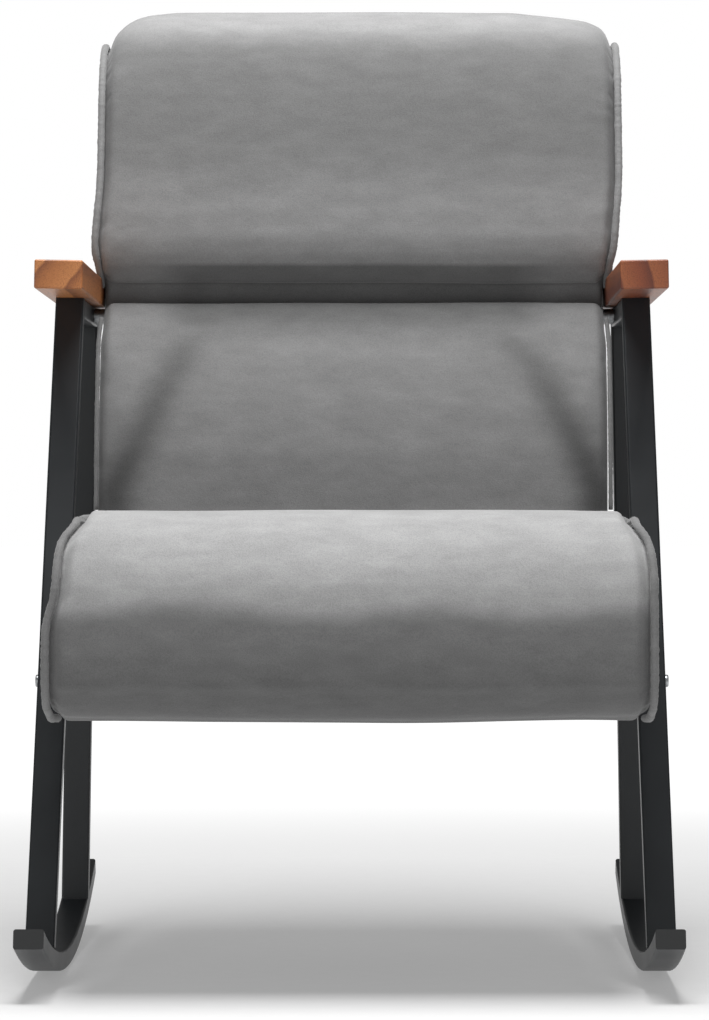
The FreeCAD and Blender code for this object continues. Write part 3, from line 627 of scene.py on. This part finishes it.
def uneven(piece, size, height):
    """Slow swells over the whole cover, that size across and that high."""
    points = read_points(piece)
    normals = read_points(piece, normals=True)
    for index, point in enumerate(points):
        points[index] += normals[index] * noise.noise(Vector(point / size)) * height
    write_points(piece, points)


print("pleats ready")

# %% [markdown]
# ## The seat
# The seat is one box cushion whose front swells into a roll a little wider than the rest,
# in front of the legs. It is modelled along its own depth, standing on its nose, and then
# tipped back by three degrees. At the rear it drops to a low deck, on which the back stands.

# %% Seat outline
seat_tilt = 3.0
seat_origin = (0.0, -0.367495, 0.283)
roll_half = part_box("seat_cover")[1].x - 0.001
body_half = 0.2862
seat_top = 0.204
roll_end = 0.180
crown = 0.011
top_round = 0.090
bottom_round = 0.050


def seat_row(s, half):
    """The row of the seat's outline at a depth s behind its front, drawn in by the crown."""
    top = seat_top - crown
    if s < top_round:
        top = seat_top - top_round + math.sqrt((top_round - crown) ** 2 - (top_round - s) ** 2)
    under = 0.008
    bottom = under
    if s < bottom_round:
        radius = bottom_round - under
        bottom = bottom_round - math.sqrt(max(radius ** 2 - (bottom_round - s) ** 2, 0))
    bottom -= 0.007 * float(smooth_step(0.055, 0.085, s))
    return (s, -top, -bottom, half)


depths = (0.0112, 0.012, 0.014, 0.017, 0.022, 0.028, 0.036, 0.045, 0.057, 0.070, 0.090, 0.135,
          0.178)
rows = [seat_row(s, roll_half) for s in depths]
rows += [seat_row(s, body_half) for s in (0.182, 0.260, 0.403)]
rows += [(0.4052, -0.097, -0.001, body_half), (0.508, -0.097, -0.001, body_half)]
seat = loft("seat_cushion", rows)
seat.rotation_euler = (math.radians(-90), 0, 0)
bpy.ops.object.transform_apply(location=True, rotation=True, scale=True)
even_squares(seat, 0.006)

# %% Seat seam and cover
tops = [(s, -top) for s, top, _, _ in rows[:13]][::-1]
bottoms = [(s, -bottom) for s, _, bottom, _ in rows[:13]]
seat_line = tops + bottoms
points = read_points(seat)
x, s, h = np.abs(points[:, 0]), points[:, 1], points[:, 2]
gap, _ = nearest_on(seat_line, s, h)
sewn = (x > roll_half - 0.007) & (gap < 0.006) & (s < roll_end + 0.004)
ends = (x > roll_half - 0.007) & (np.abs(s - roll_end) < 0.008)
resting = ((h < 0.004) & (s > 0.08)) | (s > 0.396)
sides = (s > roll_end + 0.004) & (x > body_half - 0.004)
hold = (sewn | ends | resting | sides).astype(float)
facing = read_points(seat, normals=True)
side_cap, under_cap, top_cap = 0.003, 0.009, crown + 0.002
cap = np.where(np.abs(facing[:, 0]) > 0.7, side_cap,
               np.where(facing[:, 2] < -0.5, under_cap, top_cap))
fill_cover(seat, hold, cap)

# %% Seat shape and wrinkles
gather(seat, roll_half, seat_line, 0.03, 11.0, 1.0)
uneven(seat, 0.16, 0.0012)


def seat_pull(x, s, h):
    """How far the roll's sides are drawn in, more on the right hand side of the sitter."""
    right = np.interp(h, (0.085, 0.096, 0.115, 0.134, 0.158, 0.175, 0.190),
                      (0.0, 0.002, 0.0085, 0.0105, 0.0115, 0.0145, 0.026))
    left = np.interp(h, (0.140, 0.160, 0.175, 0.190), (0.0, 0.002, 0.005, 0.015))
    front = 1 - smooth_step(roll_end - 0.004, roll_end + 0.004, s)
    return np.where(x < 0, right, left) * front


points = read_points(seat)
points[:, 0] *= 1 - seat_pull(*points.T) / roll_half
middle = smooth_step(0.0, 0.22, 0.25 - np.abs(points[:, 0]))
below = smooth_step(0.06, 0.0, points[:, 2]) * smooth_step(0.09, 0.06, points[:, 1])
points[:, 2] -= 0.003 * middle * below
write_points(seat, points)

# %% Seat tone: painted light and shade
# painted light on the upper front over painted shade below it, darker towards the bottom, with a
# wavering edge between them, and painted light on the top behind
painted_front_shade, painted_low_shade, painted_upper_light, painted_top_light = -0.12, -0.18, 0.95, 0.3
drift = np.array([noise.noise(Vector((x * 9, 4.0, h * 14))) for x, _, h in points])
lit_upper_front = smooth_step(0.088, 0.118, points[:, 2] + 0.010 * drift)
shaded_low_front = smooth_step(0.09, 0.02, points[:, 2])
painted_seat_front = painted_front_shade + painted_low_shade * shaded_low_front + painted_upper_light * lit_upper_front
behind = smooth_step(0.11, 0.19, points[:, 1])
lay_painted_light_shade(seat, painted_seat_front * (1 - behind) + painted_top_light * behind)
set_down(seat, seat_tilt, seat_origin)
finish_cushion(seat, 0.85, "seat_cover", "seat_foam", "seat_front_roll")

# %% [markdown]
# ## The back
# The back is one tall cushion with a crease at the waist: below it a flat panel that fills
# the space between the side frames, above it a head roll that swells forward and a little
# wider than the armrests allow below. It is modelled upright and then leant back by 13
# degrees. The crease is where the cover is pulled in and stapled through, so it is pinned.

# %% Back outline
back_lean = 13.0
back_origin = (0.0, 0.066580, 0.464530)
lower_half = 0.2752
head_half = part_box("back_cover")[1].x - 0.001
back_foot, back_rear_foot = -0.1050, -0.0895    # the foot slopes up to the rear
flat_rear = 0.0885
back_rows = [
    (back_foot, 0.007, flat_rear), (back_rear_foot, 0.006, flat_rear),
    (0.020, 0.006, flat_rear), (0.080, -0.002, flat_rear), (0.130, -0.004, flat_rear),
    (0.180, -0.001, flat_rear), (0.215, 0.004, flat_rear), (0.236, 0.009, flat_rear),
    (0.247, 0.015, flat_rear), (0.254, 0.025, flat_rear), (0.268, 0.030, flat_rear),
    (0.281, 0.028, flat_rear), (0.286, 0.012, flat_rear), (0.292, 0.000, flat_rear),
    (0.302, -0.010, flat_rear), (0.318, -0.017, flat_rear), (0.345, -0.020, flat_rear),
    (0.420, -0.020, flat_rear), (0.480, -0.019, flat_rear), (0.512, -0.016, flat_rear),
    (0.538, -0.008, flat_rear), (0.560, 0.003, flat_rear), (0.575, 0.015, 0.0880),
    (0.585, 0.028, 0.0850), (0.591, 0.042, 0.0780), (0.592, 0.052, 0.0700),
]


def back_half_at(t):
    """Half the back's width: the lower back, the waist, and the wider head roll."""
    return lower_half + (head_half - lower_half) * float(smooth_step(0.285, 0.300, t))


back = loft("back_cushion", [(t, front, rear, back_half_at(t)) for t, front, rear in back_rows])
for vertex in back.data.vertices:
    if vertex.co.z < back_foot + 0.001 and vertex.co.y > 0.05:
        vertex.co.z = back_rear_foot
even_squares(back, 0.006)

# %% Back seam and cover
head_line = [(front, t) for t, front, _ in back_rows if t > 0.28]
head_line += [(rear, t) for t, _, rear in back_rows[::-1] if t > 0.28]
lower_line = [(front, t) for t, front, _ in back_rows if t < 0.275]
points = read_points(back)
x, n, t = np.abs(points[:, 0]), points[:, 1], points[:, 2]
gap, _ = nearest_on(head_line, n, t)
sewn = (t > 0.285) & (x > head_half - 0.008) & (gap < 0.006)
edges = (t < 0.285) & (x > lower_half - 0.007)
crease = (np.abs(t - 0.268) < 0.016) & (n < 0.06)
resting = (n > 0.085) | (t < -0.084)
hold = (sewn | edges | crease | resting).astype(float)
facing = read_points(back, normals=True)
head_cap, lower_cap = 0.010, 0.008
cap = np.where(np.abs(facing[:, 0]) > 0.7, side_cap, np.where(t > 0.28, head_cap, lower_cap))
fill_cover(back, hold, cap)

# %% Back shape and wrinkles
gather(back, head_half, head_line, 0.02, 71.0, 0.8)
gather(back, lower_half, lower_line, 0.02, 91.0, 0.5)
uneven(back, 0.17, 0.0014)


def back_skew(points):
    """The head roll's corners are rounded, one more than the other, and it sits a little
    askew; the lower back swells sideways below the armrests."""
    x, n, t = points[:, 0], points[:, 1], points[:, 2]
    drop = np.interp(x, (-0.283, -0.272, -0.262, -0.250, -0.236, -0.205,
                         0.170, 0.215, 0.252, 0.266, 0.276, 0.283),
                     (0.034, 0.024, 0.014, 0.007, 0.003, 0.0,
                      0.0, 0.005, 0.010, 0.016, 0.024, 0.032))
    moved = points.copy()
    moved[:, 2] = np.where(t > 0.45, t - (t - 0.45) / 0.142 * drop, t)
    moved[:, 0] += 0.0065 * smooth_step(0.29, 0.40, t)
    moved[:, 0] *= 1 + 0.0075 * smooth_step(0.235, 0.205, t)
    return moved


write_points(back, back_skew(read_points(back)))
set_down(back, back_lean, back_origin)

# %% Back tone: painted light and shade
# the painted shadow arch below the waist, and above it the roll darkened by painted shade, with
# painted light on its top and foot
waist_height = 0.75
painted_head_shade, painted_head_top_light, painted_head_foot_light = -0.30, 0.62, 0.42
points = read_points(back)
height = points[:, 2]
painted_head_light_shade = (painted_head_shade + painted_head_top_light * smooth_step(0.985, 1.03, height)
            + painted_head_foot_light * smooth_step(0.90, 0.76, height))
lay_painted_light_shade(back, np.where(height < waist_height, painted_arch_shadow(points), painted_head_light_shade))
finish_cushion(back, 0.8, "back_cover", "back_foam", "head_roll_foam")

# %% [markdown]
# ## Welts
# A welt is a cord in a strip of the same velvet, caught in the seam. It is drawn as a smooth
# curve along the seam, with the cord's thickness as its bevel, and made a mesh. The strip
# puckers round the bends, which gives it fine ribs about 3 mm apart.

# %% Welt tools
def welt(name, path, radius, seed, stands_for):
    """A welt along points that are already in place."""
    bpy.ops.curve.primitive_nurbs_path_add()
    cord = bpy.context.object
    cord.name = name
    only(cord)
    cord.location = (0, 0, 0)
    cord.data.splines.clear()
    spline = cord.data.splines.new("NURBS")
    spline.points.add(len(path) - 1)
    for point, place in zip(spline.points, path):
        point.co = (*place, 1.0)
    spline.order_u = 4
    spline.use_endpoint_u = True
    cord.data.resolution_u = 6
    cord.data.bevel_depth = radius
    cord.data.bevel_resolution = 3
    cord.data.use_fill_caps = True
    bpy.ops.object.convert(target="MESH")
    bpy.ops.object.mode_set(mode="EDIT")
    bpy.ops.mesh.select_all(action="SELECT")
    bpy.ops.mesh.remove_doubles(threshold=0.00001)
    bpy.ops.mesh.normals_make_consistent(inside=False)
    bpy.ops.object.mode_set(mode="OBJECT")
    points = read_points(cord)
    normals = read_points(cord, normals=True)
    for index, point in enumerate(points):
        rib = noise.noise(Vector((seed, point[1] * 330, point[2] * 330)))
        lump = noise.noise(Vector((seed + 5, point[1] * 60, point[2] * 60)))
        points[index] += normals[index] * radius * (0.16 * rib + 0.10 * lump)
    write_points(cord, points)
    bpy.ops.object.shade_smooth()
    cord.data.materials.clear()
    cord.data.materials.append(finishes["velvet"])
    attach(cord, "root")
    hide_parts(stands_for)
    print(name, "has", len(cord.data.polygons), "faces")
    return cord


def outward(line, distance):
    """A line of points moved sideways, to its left, by that distance."""
    moved = []
    for index, (a, b) in enumerate(line):
        a0, b0 = line[max(index - 1, 0)]
        a1, b1 = line[min(index + 1, len(line) - 1)]
        length = math.hypot(a1 - a0, b1 - b0)
        moved.append((a - (b1 - b0) / length * distance, b + (a1 - a0) / length * distance))
    return moved


def evenly(line, step):
    """Points that far apart along a line of corners."""
    corners = np.array(line)
    runs = np.concatenate([[0.0], np.cumsum(np.linalg.norm(np.diff(corners, axis=0), axis=1))])
    places = np.linspace(0, runs[-1], int(runs[-1] / step) + 1)
    return [(float(np.interp(p, runs, corners[:, 0])), float(np.interp(p, runs, corners[:, 1])))
            for p in places]


def in_place(rows, lean, origin):
    """Tip rows of points by lean degrees about X and move them to the origin given."""
    c, s = math.cos(math.radians(lean)), math.sin(math.radians(lean))
    return [(x + origin[0], y * c + z * s + origin[1], z * c - y * s + origin[2])
            for x, y, z in rows]


print("welt tools ready")

# %% Welts of the seat, the head roll and the lower back
cord_radius = 0.004
thin_radius = 0.0025
seat_path = evenly(outward(seat_line[::-1], 0.0035), 0.012)
head_path = evenly(outward(head_line, 0.0030), 0.012)
lower_path = evenly([(f, t) for f, t in outward(lower_line, 0.0012) if 0.003 < t < 0.240], 0.012)
for side, label in ((1, "left"), (-1, "right")):
    rows = np.array([(side * (roll_half + 0.0035), s, h) for s, h in seat_path])
    rows[:, 0] -= side * seat_pull(*rows.T)
    welt("seat_welt_" + label, in_place(rows, seat_tilt, seat_origin), cord_radius, side + 3.0,
         "seat_piping_" + label)
    rows = np.array([(side * (head_half + 0.0035), n, t) for n, t in head_path])
    rows[:, 0] -= side * 0.006 * (1 - smooth_step(0.285, 0.31, rows[:, 2]))
    welt("head_welt_" + label, in_place(back_skew(rows), back_lean, back_origin), cord_radius,
         side + 13.0, "back_piping_" + label)
    rows = np.array([(side * (lower_half + 0.0020), n, t) for n, t in lower_path])
    welt("lower_back_welt_" + label, in_place(back_skew(rows), back_lean, back_origin),
         thin_radius, side + 23.0, "lower_back_piping_" + label)

# %% [markdown]
# ## The panel behind the back
# The back is closed behind by one flat panel of velvet, turned in at its edges and
# blind-stitched to the cover, so that it can be taken off to reach the webbing. It is a
# thin plate with a soft edge and a slight swell, like cloth stretched over the timbers.

# %% Rear panel
tuck_height = 0.0006


def stretched_panel(name, node, lean, swell, slot, outside):
    """A thin stretched cloth in the place of a flat CAD panel. The panel's own corners, found
    by tipping its box upright, give its size. It swells to the outside, 1 or -1."""
    corners = np.array([tuple(v.co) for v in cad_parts[node].data.vertices])
    c, s = math.cos(math.radians(lean)), math.sin(math.radians(lean))
    flat = np.column_stack([corners[:, 0], corners[:, 1] * c - corners[:, 2] * s,
                            corners[:, 1] * s + corners[:, 2] * c])
    low, high = flat.min(axis=0), flat.max(axis=0)
    size, middle = high - low, (high + low) / 2
    thin = int(np.argmin(size))
    bpy.ops.mesh.primitive_cube_add(size=1.0)
    panel = bpy.context.object
    panel.name = name
    panel.scale = size
    only(panel)
    bpy.ops.object.transform_apply(location=False, rotation=False, scale=True)
    bpy.ops.object.mode_set(mode="EDIT")
    bpy.ops.mesh.select_all(action="SELECT")
    bpy.ops.mesh.bevel(offset=0.0007, segments=2)
    bpy.ops.mesh.select_all(action="SELECT")
    bpy.ops.mesh.subdivide(number_cuts=40)
    bpy.ops.object.mode_set(mode="OBJECT")
    points = read_points(panel)
    wide = [axis for axis in range(3) if axis != thin]
    edge = np.minimum.reduce([size[axis] / 2 - np.abs(points[:, axis]) for axis in wide])
    rise = swell * smooth_step(0.0, 0.09, edge)
    tuck = tuck_height * np.sin(points[:, 0] * 900) * np.exp(-edge / 0.008)
    tuck *= smooth_step(0.0, 0.003, edge)
    points[:, thin] += outside * (rise + tuck)
    points += middle
    upright = points.copy()
    points[:, 1] = upright[:, 1] * c + upright[:, 2] * s
    points[:, 2] = upright[:, 2] * c - upright[:, 1] * s
    write_points(panel, points)
    bpy.ops.object.shade_smooth()
    panel.data.materials.append(finishes[slot])
    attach(panel, "root")
    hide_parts(node)
    print(name, "is", [round(float(d), 3) for d in size], "m")
    return panel


stretched_panel("rear_panel", "back_rear_panel", back_lean, 0.0025, "velvet",
                1)

# %% [markdown]
# ## The lining below the seat
# A thin black lining is stapled under the seat, to hide the webbing and keep dust off the
# floor. It is stretched between the rails and sags a little in the middle.

# %% Lining
stretched_panel("seat_lining", "seat_dust_cover", seat_tilt, 0.003, "lining",
                -1)
